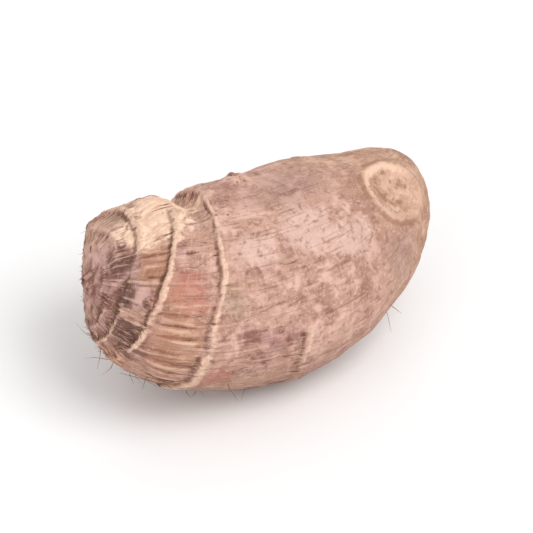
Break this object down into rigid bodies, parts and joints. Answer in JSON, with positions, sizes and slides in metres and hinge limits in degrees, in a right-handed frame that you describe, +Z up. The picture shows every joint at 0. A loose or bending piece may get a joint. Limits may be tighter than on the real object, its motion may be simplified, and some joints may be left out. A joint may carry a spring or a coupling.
{
  "type": "taro root",
  "caption": "Raw taro cormel (eddoe): a bent, egg-shaped tuber with ringed leaf scars, small buds, a dished apex and a round base scar, lying on its belly.",
  "frame": {"origin": "under the middle of the tuber's box, on the surface that it rests on", "axes": "+X from the apex (where leaves grew) to the base (where it broke from its parent), +Z up, as it lies"},
  "size_m": [0.0912, 0.0516, 0.0499],
  "materials": {
    "taro_skin": null
  },
  "bodies": {
    "root": {"taro_corm": "taro_skin"}
  },
  "joints": []
}
